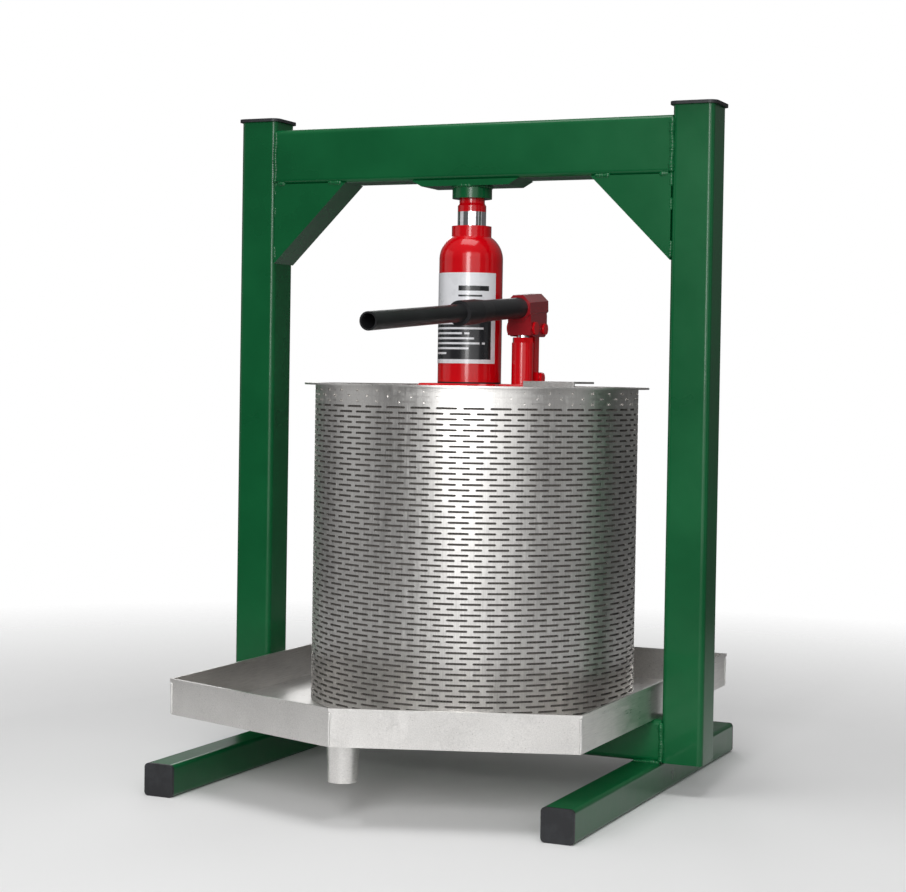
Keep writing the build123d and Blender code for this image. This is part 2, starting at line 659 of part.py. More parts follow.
def pump_piston():
    """The piston's rod, with an eye for its pin at the top."""
    bottom = BASE_TOP + PUMP_FLOOR_GAP
    shoulder = bottom + PUMP_SEAL_HEIGHT
    eye_start = PIN_Z - PUMP_PISTON_RADIUS - 1
    rod = disc(PUMP_PISTON_RADIUS, shoulder, eye_start)
    rod += disc(PUMP_SPIGOT_RADIUS, bottom, shoulder)
    neck = Box(2 * EYE_HALF_WIDTH, 2 * EYE_RADIUS, PIN_Z - eye_start)
    blank = disc(PUMP_PISTON_RADIUS, eye_start, PIN_Z)
    rod += (Pos(0, 0, (eye_start + PIN_Z) / 2) * neck) & blank
    rod += Pos(0, 0, PIN_Z) * along_x(disc(EYE_RADIUS, -EYE_HALF_WIDTH, EYE_HALF_WIDTH))
    half = EYE_HALF_WIDTH + THROUGH
    rod -= Pos(0, 0, PIN_Z) * along_x(disc(PIN_RADIUS, -half, half))
    return Pos(PUMP_PLACE, 0, 0) * rod


def pump_piston_seal():
    bottom = BASE_TOP + PUMP_FLOOR_GAP
    outer = PUMP_PISTON_RADIUS + PUMP_SEAL_GAP
    seal = ring(outer, PUMP_SPIGOT_RADIUS, bottom, bottom + PUMP_SEAL_HEIGHT)
    return Pos(PUMP_PLACE, 0, 0) * seal


def piston_pin():
    """The pin between the pump's piston and the ears of the handle's socket."""
    return Pos(PUMP_PLACE, 0, PIN_Z) * cross_pin(EAR_OUTER + EAR_GAP, PISTON_PIN_HEAD_RADIUS)


# ---- Link and handle ------------------------------------------------------------------
def link_arm():
    """The short link behind the pump, with an eye at each end."""
    top_half = EAR_INNER - EAR_GAP
    bar = Box(LINK_WIDTH, 2 * LINK_EYE_RADIUS, PIN_Z - LINK_LOW_PIN_Z)
    link = Pos(0, 0, (PIN_Z + LINK_LOW_PIN_Z) / 2) * bar
    link += Pos(0, 0, PIN_Z) * along_x(disc(LINK_EYE_RADIUS, -top_half, top_half))
    link += Pos(0, 0, LINK_LOW_PIN_Z) * along_x(disc(LINK_EYE_RADIUS, -LINK_WIDTH / 2, LINK_WIDTH / 2))
    link -= Pos(0, 0, PIN_Z) * along_x(disc(PIN_RADIUS, -top_half - THROUGH, top_half + THROUGH))
    low_hole = disc(PIN_RADIUS + RUNNING_FIT, -LINK_WIDTH, LINK_WIDTH)
    link -= Pos(0, 0, LINK_LOW_PIN_Z) * along_x(low_hole)
    return Pos(PUMP_PLACE, LINK_OFFSET, 0) * link


def link_top_pin():
    return Pos(PUMP_PLACE, LINK_OFFSET, PIN_Z) * cross_pin(EAR_OUTER + EAR_GAP, LINK_PIN_HEAD_RADIUS)


def link_base_pin():
    half = LINK_WIDTH / 2 + LUG_GAP + LUG_THICKNESS
    return Pos(PUMP_PLACE, LINK_OFFSET, LINK_LOW_PIN_Z) * cross_pin(half, LOW_PIN_HEAD_RADIUS)


def on_handle_axis(shape):
    """Places a shape built about the origin along Y on the sloping handle axis."""
    return Pos(*HANDLE_MIDDLE) * Rot(SOCKET_TILT, 0, 0) * shape


def handle_socket():
    """The eight-sided socket of the handle with the two ears that hang from it."""
    half = HANDLE_SOCKET_LENGTH / 2
    corner_radius = HANDLE_SOCKET_FLATS / 2 / cos(radians(22.5))
    octagon = RegularPolygon(corner_radius, 8, rotation=22.5)
    block = Pos(0, 0, -half) * extrude(octagon, HANDLE_SOCKET_LENGTH)
    block = chamfer(block.faces().sort_by(Axis.Z)[-1].edges(), HANDLE_SOCKET_CHAMFER)
    socket = on_handle_axis(along_y(block))

    ear_bottom = PIN_Z - EAR_RADIUS
    ear_top = HANDLE_MIDDLE[2] - EAR_TOP_DROP
    ear_depth = LINK_OFFSET + 2 * EAR_RADIUS
    outline = Pos(LINK_OFFSET / 2, (ear_bottom + ear_top) / 2) * RectangleRounded(
        ear_depth, ear_top - ear_bottom, EAR_RADIUS - SMALLEST_CORNER
    )
    ear = extrude(Plane.YZ * outline, EAR_THICKNESS)
    socket += Pos(PUMP_PLACE + EAR_INNER, 0, 0) * ear
    socket += Pos(PUMP_PLACE - EAR_OUTER, 0, 0) * ear
    web_bottom = PIN_Z - FORK_WEB_DROP
    web_y = FORK_WEB_LAP - EAR_RADIUS - FORK_WEB / 2
    web = Box(2 * EAR_OUTER, FORK_WEB, ear_top - web_bottom)
    socket += Pos(PUMP_PLACE, web_y, (ear_top + web_bottom) / 2) * web

    bore = disc(LOWER_HANDLE_RADIUS + RUNNING_FIT, -half - THROUGH, LOWER_HANDLE_BACK)
    socket -= on_handle_axis(along_y(bore))
    slack_hole = disc(PIN_RADIUS + PISTON_PIN_SLACK, -2 * EAR_OUTER, 2 * EAR_OUTER)
    socket -= Pos(PUMP_PLACE, 0, PIN_Z) * along_x(slack_hole)
    pivot_hole = disc(PIN_RADIUS + RUNNING_FIT, -2 * EAR_OUTER, 2 * EAR_OUTER)
    return socket - Pos(PUMP_PLACE, LINK_OFFSET, PIN_Z) * along_x(pivot_hole)


def handle_lower_tube():
    bore = LOWER_HANDLE_RADIUS - HANDLE_WALL
    collar_end = LOWER_HANDLE_FRONT + COLLAR_LENGTH
    profile = Polyline(
        (bore, LOWER_HANDLE_FRONT),
        (COLLAR_RADIUS, LOWER_HANDLE_FRONT),
        (COLLAR_RADIUS, collar_end),
        (LOWER_HANDLE_RADIUS, collar_end + COLLAR_TAPER),
        (LOWER_HANDLE_RADIUS, LOWER_HANDLE_BACK),
        (bore, LOWER_HANDLE_BACK),
        close=True,
    )
    return on_handle_axis(along_y(turned(profile)))


def handle_upper_tube():
    back = LOWER_HANDLE_FRONT + HANDLE_OVERLAP
    inner = UPPER_HANDLE_RADIUS - UPPER_HANDLE_WALL
    tube = ring(UPPER_HANDLE_RADIUS, inner, back - UPPER_HANDLE_LENGTH, back)
    return on_handle_axis(along_y(tube))


# ---- Files ----------------------------------------------------------------------------
def all_parts():
    """Every piece of the press by name, with the origin in the middle of its width and length."""
    beam_middle = BEAM_BOTTOM + TOP_BEAM_HEIGHT / 2
    parts = {
        "left_upright": upright(-1),
        "right_upright": upright(1),
        "top_beam": cross_beam(TOP_BEAM_HEIGHT, beam_middle),
        "bottom_beam": cross_beam(UPRIGHT, FOOT + UPRIGHT / 2),
        "left_foot": foot(-1),
        "right_foot": foot(1),
        "left_gusset": gusset(-1),
        "right_gusset": gusset(1),
        "beam_doubler": beam_doubler(),
        "lower_doubler": lower_doubler(),
        "left_upright_cap": upright_cap(-1),
        "right_upright_cap": upright_cap(1),
        "foot_end_caps": foot_end_caps(),
        "ram_socket": ram_socket(),
        "extension_screw": extension_screw(),
        "tray_pan": tray_pan(),
        "drain_spout": drain_spout(),
        "basket_shell": basket_shell(),
        "filter_sleeve": filter_sleeve(),
        "basket_rim_ring": basket_rim_ring(),
        "pressing_plate": pressing_plate(),
        "jack_platform": jack_platform(),
        "jack_clip": jack_clip(),
        "ram": ram(),
        "ram_piston": ram_piston(),
        "piston_cup_seal": piston_cup_seal(),
        "jack_reservoir": jack_reservoir(),
        "reservoir_gasket": reservoir_gasket(),
        "jack_cylinder": jack_cylinder(),
        "neck_nut": neck_nut(),
        "ram_wiper": ram_wiper(),
        "filler_plug": filler_plug(),
        "body_label": body_label(),
        "jack_base": jack_base(),
        "check_balls": check_balls(),
        "pocket_screws": pocket_screws(),
        "release_valve": release_valve(),
        "pump_cylinder": pump_cylinder(),
        "pump_gland": pump_gland(),
        "pump_piston": pump_piston(),
        "pump_piston_seal": pump_piston_seal(),
        "piston_pin": piston_pin(),
        "link_arm": link_arm(),
        "link_top_pin": link_top_pin(),
        "link_base_pin": link_base_pin(),
        "handle_socket": handle_socket(),
        "handle_lower_tube": handle_lower_tube(),
        "handle_upper_tube": handle_upper_tube(),
    }
    boxes = [piece.bounding_box() for piece in parts.values()]
    middle = (min(box.min.Y for box in boxes) + max(box.max.Y for box in boxes)) / 2
    axis_place = Pos(0, -round(middle, PLACE_DECIMALS), 0)
    return {name: axis_place * piece for name, piece in parts.items()}


os.makedirs("parts", exist_ok=True)
for name, shape in all_parts().items():
    export_step(shape, f"parts/{name}.step")
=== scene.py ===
import json
import math

import bpy
from mathutils import Matrix, Vector


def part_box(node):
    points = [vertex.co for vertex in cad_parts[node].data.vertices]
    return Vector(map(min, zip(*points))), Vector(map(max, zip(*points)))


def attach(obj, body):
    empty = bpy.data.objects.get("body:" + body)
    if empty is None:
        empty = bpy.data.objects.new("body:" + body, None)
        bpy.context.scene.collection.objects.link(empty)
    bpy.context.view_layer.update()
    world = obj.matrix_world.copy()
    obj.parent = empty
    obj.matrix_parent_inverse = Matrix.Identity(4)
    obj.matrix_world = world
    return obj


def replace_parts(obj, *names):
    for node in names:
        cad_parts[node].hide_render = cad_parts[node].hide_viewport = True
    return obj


# A cider press: green welded gantry, slotted stainless basket in a five-sided tray, red bottle
# jack. Metres, in the frame of the CAD. Places come from the CAD boxes.

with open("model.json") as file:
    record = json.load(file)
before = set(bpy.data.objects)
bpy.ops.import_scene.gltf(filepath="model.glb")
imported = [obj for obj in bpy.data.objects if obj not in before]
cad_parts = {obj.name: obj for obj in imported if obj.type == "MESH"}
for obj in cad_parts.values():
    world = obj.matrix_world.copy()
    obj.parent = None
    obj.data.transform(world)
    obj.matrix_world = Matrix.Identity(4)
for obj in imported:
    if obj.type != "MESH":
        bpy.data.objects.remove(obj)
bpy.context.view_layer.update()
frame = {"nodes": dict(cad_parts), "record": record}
MM = 0.001
NODES = frame["nodes"]


# ---- Places read from the CAD --------------------------------------------------------
def axis_of(node):
    """The upright axis of a round node, as the point where it meets the floor."""
    low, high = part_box(node)
    return Vector(((low.x + high.x) / 2, (low.y + high.y) / 2, 0))


BASKET_LO, BASKET_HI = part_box("basket_shell")
BASKET_AXIS = axis_of("basket_shell")
BASKET_RADIUS = (BASKET_HI.x - BASKET_LO.x) / 2
AXIS = axis_of("ram")


# ---- Shader nodes --------------------------------------------------------------------
class Look:
    """One material with a Principled shader, and short names for the nodes that feed it."""

    def __init__(self, name, **sockets):
        self.material = bpy.data.materials.new(name)
        self.material.use_nodes = True
        self.tree = self.material.node_tree
        self.shader = self.tree.nodes["Principled BSDF"]
        for socket, value in sockets.items():
            self.shader.inputs[socket.replace("_", " ")].default_value = value
        self.place = self.node("ShaderNodeTexCoord").outputs["Object"]

    def node(self, kind, **settings):
        made = self.tree.nodes.new(kind)
        for key, value in settings.items():
            setattr(made, key, value)
        return made

    def feed(self, socket, value):
        if hasattr(value, "is_linked"):
            self.tree.links.new(value, socket)
        else:
            socket.default_value = value

    def stretched(self, scale):
        mapping = self.node("ShaderNodeMapping")
        mapping.inputs["Scale"].default_value = scale
        self.feed(mapping.inputs["Vector"], self.place)
        return mapping.outputs["Vector"]

    def noise(self, scale, detail=3.0, roughness=0.55, stretch=(1, 1, 1)):
        """Noise with scale cells per metre, drawn out where stretch is below 1."""
        made = self.node("ShaderNodeTexNoise")
        made.inputs["Scale"].default_value = scale
        made.inputs["Detail"].default_value = detail
        made.inputs["Roughness"].default_value = roughness
        self.feed(made.inputs["Vector"], self.stretched(stretch))
        return made.outputs["Fac"]

    def spread(self, value, low, high, start=0.3, end=0.7):
        """The value's range from start to end spread over low to high."""
        made = self.node("ShaderNodeMapRange")
        for socket, number in zip(("From Min", "From Max", "To Min", "To Max"), (start, end, low, high)):
            made.inputs[socket].default_value = number
        self.feed(made.inputs["Value"], value)
        return made.outputs["Result"]

    def blend(self, factor, first, second):
        made = self.node("ShaderNodeMix", data_type="RGBA")
        self.feed(made.inputs[0], factor)
        self.feed(made.inputs[6], first)
        self.feed(made.inputs[7], second)
        return made.outputs[2]

    def maths(self, operation, first, second):
        made = self.node("ShaderNodeMath", operation=operation)
        self.feed(made.inputs[0], first)
        self.feed(made.inputs[1], second)
        return made.outputs[0]

    def colour(self, value):
        self.feed(self.shader.inputs["Base Color"], value)

    def rough(self, value):
        self.feed(self.shader.inputs["Roughness"], value)

    def relief(self, *layers):
        """Bumps from (height, strength, depth in metres), each on top of the one before."""
        normal = None
        for height, strength, depth in layers:
            bump = self.node("ShaderNodeBump")
            bump.inputs["Strength"].default_value = strength
            bump.inputs["Distance"].default_value = depth
            self.feed(bump.inputs["Height"], height)
            if normal:
                self.feed(bump.inputs["Normal"], normal)
            normal = bump.outputs["Normal"]
        self.feed(self.shader.inputs["Normal"], normal)


def shade(rgb, factor):
    return (*[min(1.0, c * factor) for c in rgb], 1.0)


# ---- Materials -----------------------------------------------------------------------
def enamel(name, rgb, roughness, coat, uneven=0.16):
    """Sprayed enamel: slightly uneven colour, orange peel, dust and fine scuffs."""
    look = Look(name, Coat_Weight=coat, Coat_Roughness=0.06, Specular_IOR_Level=0.28)
    cloud = look.noise(9, 4)
    scuff = look.spread(look.noise(70, 6, 0.75), 0, 1, 0.64, 0.76)
    base = look.blend(look.spread(cloud, 0, 1), shade(rgb, 1 - uneven), shade(rgb, 1 + uneven))
    look.colour(look.blend(look.maths("MULTIPLY", scuff, 0.05), base, shade(rgb, 4)))
    look.rough(look.maths("ADD", look.spread(cloud, roughness - 0.05, roughness + 0.07),
                          look.maths("MULTIPLY", scuff, 0.12)))
    look.relief((look.noise(34, 2), 0.18, 1.2 * MM), (look.noise(620, 2), 0.10, 0.25 * MM))
    return look.material


def stainless(name, rgb, roughness, grain=(1, 1, 1), grain_depth=0.05):
    """Stainless sheet: mill grain along one direction, faint handling marks."""
    look = Look(name, Metallic=1.0, Anisotropic=0.35)
    brushed = look.noise(900, 4, 0.6, grain)
    marks = look.noise(16, 5, 0.6)
    smear = look.spread(look.noise(60, 5, 0.65, (1, 1, 0.3)), 0, 1, 0.56, 0.72)
    tone = look.maths("ADD", look.spread(brushed, 0.0, 0.55), look.spread(marks, 0.0, 0.45))
    look.colour(look.blend(tone, shade(rgb, 0.80), shade(rgb, 1.14)))
    look.rough(look.maths("ADD", look.spread(brushed, roughness - 0.05, roughness + 0.08),
                          look.maths("MULTIPLY", smear, 0.10)))
    look.relief((look.noise(11, 2), 0.25, 1.0 * MM), (brushed, grain_depth, 0.15 * MM))
    return look.material


def chromed(name):
    look = Look(name, Metallic=1.0)
    lines = look.noise(500, 3, 0.5, (0.15, 0.15, 1))
    look.colour(look.blend(look.spread(lines, 0, 1), (0.74, 0.75, 0.77, 1), (0.88, 0.88, 0.90, 1)))
    look.rough(look.spread(lines, 0.06, 0.14))
    look.relief((lines, 0.05, 0.05 * MM))
    return look.material


def turned_steel(name):
    look = Look(name, Metallic=1.0)
    rings = look.noise(700, 4, 0.6, (0.2, 0.2, 1))
    stain = look.noise(70, 4)
    look.colour(look.blend(look.spread(stain, 0, 1), (0.30, 0.29, 0.28, 1), (0.50, 0.49, 0.48, 1)))
    look.rough(look.spread(rings, 0.22, 0.42))
    look.relief((rings, 0.20, 0.1 * MM))
    return look.material


def moulded(name, rgb, roughness, cells=1400, depth=0.35):
    """Moulded plastic or rubber: a fine pebbled skin, paler where it is rubbed."""
    look = Look(name, Specular_IOR_Level=0.4)
    pebble = look.noise(cells, 2)
    rubbed = look.spread(look.noise(45, 5, 0.65), 0, 1, 0.45, 0.75)
    look.colour(look.blend(rubbed, shade(rgb, 0.8), shade(rgb, 1.7)))
    look.rough(look.spread(pebble, roughness - 0.08, roughness + 0.08))
    look.relief((pebble, depth, 0.12 * MM))
    return look.material


def plastic_mesh(name):
    """Dark extruded netting: two crossing sets of fine strands."""
    look = Look(name, Specular_IOR_Level=0.3)
    waves = []
    for direction in ("X", "Z"):
        wave = look.node("ShaderNodeTexWave", bands_direction=direction)
        wave.inputs["Scale"].default_value = 110
        look.feed(wave.inputs["Vector"], look.place)
        waves.append(wave.outputs["Fac"])
    strands = look.maths("MAXIMUM", *waves)
    look.colour(look.blend(strands, (0.030, 0.028, 0.026, 1), (0.115, 0.105, 0.097, 1)))
    look.rough(look.spread(strands, 0.55, 0.8, 0, 1))
    look.relief((strands, 0.5, 0.3 * MM))
    return look.material


def satin_black(name):
    """Black stoving enamel on the handle's tubes, with long fine scratches."""
    look = Look(name, Coat_Weight=0.08, Coat_Roughness=0.3, Specular_IOR_Level=0.28)
    scratch = look.spread(look.noise(330, 6, 0.75, (1, 0.06, 1)), 0, 1, 0.62, 0.74)
    cloud = look.noise(30, 4)
    base = look.blend(look.spread(cloud, 0, 1), (0.008, 0.008, 0.009, 1), (0.020, 0.020, 0.022, 1))
    look.colour(look.blend(look.maths("MULTIPLY", scratch, 0.35), base, (0.16, 0.16, 0.17, 1)))
    look.rough(look.spread(cloud, 0.38, 0.52))
    look.relief((look.noise(700, 2), 0.12, 0.15 * MM))
    return look.material


def film(name, rgb):
    """Printed plastic film: glossy, with a faint ripple where it was stuck on."""
    look = Look(name, Coat_Weight=0.3, Coat_Roughness=0.08)
    cloud = look.noise(55, 4)
    look.colour(look.blend(look.spread(cloud, 0, 1), shade(rgb, 0.93), shade(rgb, 1.04)))
    look.rough(look.spread(cloud, 0.24, 0.36))
    look.relief((look.noise(120, 2), 0.15, 0.2 * MM))
    return look.material


GREEN = (0.002, 0.104, 0.030)
RED = (0.62, 0.001, 0.006)
# Painted shade: the jack's red at half brightness, for the pump socket, which is painted the same red
SHADED_RED = (0.30, 0.008, 0.014)
STEEL = (0.74, 0.725, 0.705)
LOOKS = {
    "green_paint": enamel("green_enamel", GREEN, 0.30, 0.18),
    "red_paint": enamel("red_enamel", RED, 0.16, 0.35, 0.08),
    # the socket's enamel is the red darkened as painted shade
    "socket_paint": enamel("shaded_red_enamel", SHADED_RED, 0.24, 0.6, 0.10),
    "stainless": stainless("stainless_sheet", STEEL, 0.32, (1, 0.06, 1)),
    "chrome": chromed("hard_chrome"),
    "black_cap": moulded("cap_plastic", (0.024, 0.025, 0.028), 0.48),
    "handle_black": satin_black("handle_enamel"),
    "label_film": film("label_white", (0.80, 0.81, 0.84)),
    "steel": turned_steel("turned_steel"),
    "black_mesh": plastic_mesh("sleeve_mesh"),
    "black_rubber": moulded("black_rubber", (0.014, 0.014, 0.014), 0.62),
}
ROLLED = stainless("rolled_stainless", STEEL, 0.34, (1, 1, 0.05), 0.08)
WELD = stainless("ground_weld", (0.78, 0.77, 0.75), 0.38, (1, 1, 1), 0.04)


def paint(piece, *materials):
    """Replaces a piece's materials. Clearing them also puts every face on the first one."""
    piece.data.materials.clear()
    for material in materials:
        piece.data.materials.append(material)


for part in frame["record"]["subparts"]:
    node = NODES[part["node"]]
    for place in range(len(node.material_slots)):
        node.material_slots[place].material = LOOKS[part["material_slot"]]


# ---- Meshes --------------------------------------------------------------------------
def piece(name, points, faces, body, slot, *materials, sharp=40, chosen=None):
    """A mesh in the frame's coordinates that rides on a body."""
    mesh = bpy.data.meshes.new(name)
    mesh.from_pydata(points, [], faces)
    mesh.polygons.foreach_set("use_smooth", [True] * len(faces))
    mesh.update()
    mesh.set_sharp_from_angle(angle=math.radians(sharp))
    made = bpy.data.objects.new(name, mesh)
    bpy.context.scene.collection.objects.link(made)
    paint(made, *materials)
    if chosen:  # after paint, because clearing the slots puts every face back on the first
        mesh.polygons.foreach_set("material_index", chosen)
    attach(made, body)
    return made


class Net:
    """Points by key, so that neighbouring faces share them, and faces by those keys."""

    def __init__(self):
        self.points, self.index, self.faces = [], {}, []

    def at(self, key, point):
        if key not in self.index:
            self.index[key] = len(self.points)
            self.points.append(point)
        return self.index[key]


# ---- Basket wall ---------------------------------------------------------------------
SLOT_ROWS = 61
SLOTS_ROUND = 40
SLOT_HALF_LENGTH = 10.0 * MM
SLOT_HALF_HEIGHT = 1.0 * MM
SLOT_STRAIGHT = 0.92  # share of the slot's half length before its end closes in
WALL = 1.5 * MM
TOP_BAND = 1.7 * MM  # plain sheet over the first row
BOTTOM_BAND = 2.7 * MM


def basket_wall():
    """The basket's sheet with rows of slots, each row half a pitch round from the last."""
    net = Net()
    pitch = 2 * math.pi / SLOTS_ROUND
    top, bottom = BASKET_HI.z - TOP_BAND, BASKET_LO.z + BOTTOM_BAND
    row_height = (top - bottom) / SLOT_ROWS
    end = SLOT_HALF_LENGTH / BASKET_RADIUS
    straight = end * SLOT_STRAIGHT

    def on_wall(angle, height, layer):
        radius = BASKET_RADIUS - WALL * layer
        return (BASKET_AXIS.x + radius * math.sin(angle), BASKET_AXIS.y - radius * math.cos(angle), height)

    def grid(quarter, half_row, layer):
        """A shared corner: quarter pitches round, and half rows down from the top."""
        quarter %= 4 * SLOTS_ROUND
        height = top - half_row * row_height / 2
        return net.at((quarter, half_row, layer), on_wall(quarter * pitch / 4, height, layer))

    edge = [(-2, 1), (-1, 1), (0, 1), (1, 1), (2, 1), (2, 0),
            (2, -1), (1, -1), (0, -1), (-1, -1), (-2, -1), (-2, 0)]
    slot = [(-straight, -1), (-pitch / 4, -1), (0, -1), (pitch / 4, -1), (straight, -1), (end, 0),
            (straight, 1), (pitch / 4, 1), (0, 1), (-pitch / 4, 1), (-straight, 1), (-end, 0)]
    for row in range(SLOT_ROWS):
        middle = top - (row + 0.5) * row_height
        for number in range(SLOTS_ROUND):
            quarter = 4 * number + 2 * (row % 2)
            rings = []
            for layer in (0, 1):
                outer = [grid(quarter + q, 2 * row + 1 + h, layer) for q, h in edge]
                inner = [net.at((row, number, k, layer),
                                on_wall(quarter * pitch / 4 + a, middle + side * SLOT_HALF_HEIGHT, layer))
                         for k, (a, side) in enumerate(slot)]
                rings.append((outer, inner))
            for k in range(len(edge)):
                n = (k + 1) % len(edge)
                (out, hole), (back_out, back_hole) = rings
                net.faces.append((out[k], out[n], hole[n], hole[k]))
                net.faces.append((back_out[n], back_out[k], back_hole[k], back_hole[n]))
                net.faces.append((hole[k], hole[n], back_hole[n], back_hole[k]))
    last = 2 * SLOT_ROWS
    for quarter in range(4 * SLOTS_ROUND):
        a, b = quarter, quarter + 1

        def rim(q, high, layer):
            q %= 4 * SLOTS_ROUND
            height = BASKET_HI.z if high else BASKET_LO.z
            return net.at((q, "high" if high else "low", layer), on_wall(q * pitch / 4, height, layer))

        for high, half_row in ((True, 0), (False, last)):
            ends = [[rim(q, high, layer) for q in (a, b)] for layer in (0, 1)]
            rows = [[grid(q, half_row, layer) for q in (a, b)] for layer in (0, 1)]
            if not high:
                ends, rows = rows, ends
            net.faces.append((rows[0][0], rows[0][1], ends[0][1], ends[0][0]))
            net.faces.append((rows[1][1], rows[1][0], ends[1][0], ends[1][1]))
            outside, inside = (ends[0], ends[1]) if high else (rows[0], rows[1])
            lid = (outside[0], outside[1], inside[1], inside[0])
            net.faces.append(lid if high else lid[::-1])
    wall = piece("basket_wall", net.points, net.faces, "basket", "stainless", ROLLED)
    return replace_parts(wall, "basket_shell")


basket_wall()


# ---- Jack label ----------------------------------------------------------------------
# Shares of the film's width and height. A box is (left, right, bottom, top).
LABEL_SKIN = 0.15 * MM
LABEL_COLUMNS = 44
LABEL_PANEL = (0.03, 0.93, 0.045, 0.50)
LABEL_HEADS = [(0.51, 0.89, 0.80, 0.855), (0.51, 0.80, 0.735, 0.755)]
LABEL_ROWS = [(0.47, 0.30), (0.92, 0.0), (0.60, 0.15), (0.78, 0.0), (0.86, 0.10), (0.70, 0.0), (0.34, 0.0)]
ROW_INSET, ROW_TOP, ROW_PITCH, ROW_HEIGHT = 0.04, 0.43, 0.055, 0.022
ROW_LENGTH, ROW_SPACE, ROW_TAIL = 0.82, 0.03, 0.4  # full row, gap in it, scale of the bar after the gap


def label_bars():
    """The light bars in the panel: each row's first bar, and a second after a gap in some."""
    bars = []
    for number, (length, tail) in enumerate(LABEL_ROWS):
        bottom = ROW_TOP - ROW_PITCH * number
        left = LABEL_PANEL[0] + ROW_INSET
        right = left + length * ROW_LENGTH
        bars.append((left, right, bottom, bottom + ROW_HEIGHT))
        if tail:
            bars.append((right + ROW_SPACE, right + ROW_SPACE + tail * ROW_TAIL, bottom, bottom + ROW_HEIGHT))
    return bars


def label():
    """A white film with a dark panel of plain light bars and two plain bars above it."""
    low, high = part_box("body_label")
    radius = AXIS.y - low.y
    half_angle = math.asin(min(1.0, (high.x - low.x) / 2 / radius))
    height = high.z - low.z
    bars = label_bars()
    boxes = (LABEL_PANEL, *bars, *LABEL_HEADS)
    even = [round(k / LABEL_COLUMNS, 5) for k in range(LABEL_COLUMNS + 1)]
    across = sorted({0.0, 1.0, *even, *[v for b in boxes for v in b[:2]]})
    upward = sorted({0.0, 1.0, *[v for b in boxes for v in b[2:]]})

    def within(u, v, b):
        return b[0] < u < b[1] and b[2] < v < b[3]

    def ink(u, v):
        """1 on the dark panel and the two bars above it, else 0 for the white film."""
        if any(within(u, v, b) for b in bars):
            return 0
        return int(any(within(u, v, b) for b in (LABEL_PANEL, *LABEL_HEADS)))

    net, chosen = Net(), []
    columns, lines = len(across), len(upward)
    for layer, depth in enumerate((0.0, LABEL_SKIN)):
        for i, u in enumerate(across):
            for j, v in enumerate(upward):
                angle = (2 * u - 1) * half_angle
                r = radius - depth
                point = (AXIS.x + r * math.sin(angle), AXIS.y - r * math.cos(angle), low.z + v * height)
                net.at((i, j, layer), point)
    key = net.index
    for i in range(columns - 1):
        for j in range(lines - 1):
            square = [(i, j), (i + 1, j), (i + 1, j + 1), (i, j + 1)]
            net.faces.append(tuple(key[a, b, 0] for a, b in square))
            net.faces.append(tuple(key[a, b, 1] for a, b in reversed(square)))
            u, v = (across[i] + across[i + 1]) / 2, (upward[j] + upward[j + 1]) / 2
            chosen += [ink(u, v), 0]
    outline = ([(i, 0) for i in range(columns)] + [(columns - 1, j) for j in range(1, lines)]
               + [(i, lines - 1) for i in range(columns - 2, -1, -1)]
               + [(0, j) for j in range(lines - 2, 0, -1)])
    for a, b in zip(outline, outline[1:] + outline[:1]):
        net.faces.append((key[(*b, 0)], key[(*a, 0)], key[(*a, 1)], key[(*b, 1)]))
        chosen.append(0)
    made = piece("printed_label", net.points, net.faces, "jack", "label_film",
                 LOOKS["label_film"], film("label_black", (0.012, 0.013, 0.016)), chosen=chosen)
    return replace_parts(made, "body_label")


label()


# ---- Welds ---------------------------------------------------------------------------
BEAD_SIDES = 12
BEAD_STEP = 0.65 * MM
SUNK = 1.2 * MM  # how far a gantry bead's middle lies behind the tube's face
STEM = 20 * MM  # the tray's corners all lie further than this from its spout
FLAT = 1e-5


def bead(net, start, end, radius, ripple=2.6 * MM, seed=0.0, lumps=0.14):
    """Adds a weld bead from start to end: a closed, rippled, slightly wandering tube."""
    start, end = Vector(start), Vector(end)
    along = end - start
    length = along.length
    along.normalize()
    side = along.orthogonal().normalized()
    up = along.cross(side)
    rings, sides = max(8, int(length / BEAD_STEP)), BEAD_SIDES
    base = len(net.points)
    for i in range(rings + 1):
        s = length * i / rings
        wave = 1 - lumps + lumps * abs(math.sin(math.pi * s / ripple + seed))
        wander = 1 + lumps * (0.7 * math.sin(s * 310 + seed * 5) + 0.4 * math.sin(s * 790 + seed * 9))
        close = math.sin(math.acos(max(-1.0, 1 - 2 * min(s, length - s, radius) / radius / 2)))
        r = radius * wave * wander * max(0.12, close)
        drift = side * (radius * 0.15 * math.sin(s * 210 + seed * 3))
        for k in range(sides):
            a = 2 * math.pi * k / sides
            net.points.append(start + along * s + drift + side * r * math.cos(a) + up * r * math.sin(a))
    for i in range(rings):
        for k in range(sides):
            n = (k + 1) % sides
            a, b = base + i * sides, base + (i + 1) * sides
            net.faces.append((a + k, a + n, b + n, b + k))
    net.faces.append(tuple(base + k for k in reversed(range(sides))))
    net.faces.append(tuple(base + rings * sides + k for k in range(sides)))


def ring_of_beads(net, centre, radius, height, count, thickness, step, **finish):
    """Short overlapping beads round a circle."""
    for k in range(count):
        a, b = (2 * math.pi * (k + t) / count for t in (0, 1.25))
        ends = [(centre.x + radius * math.cos(t), centre.y + radius * math.sin(t), height) for t in (a, b)]
        bead(net, *ends, thickness, seed=k * step, **finish)


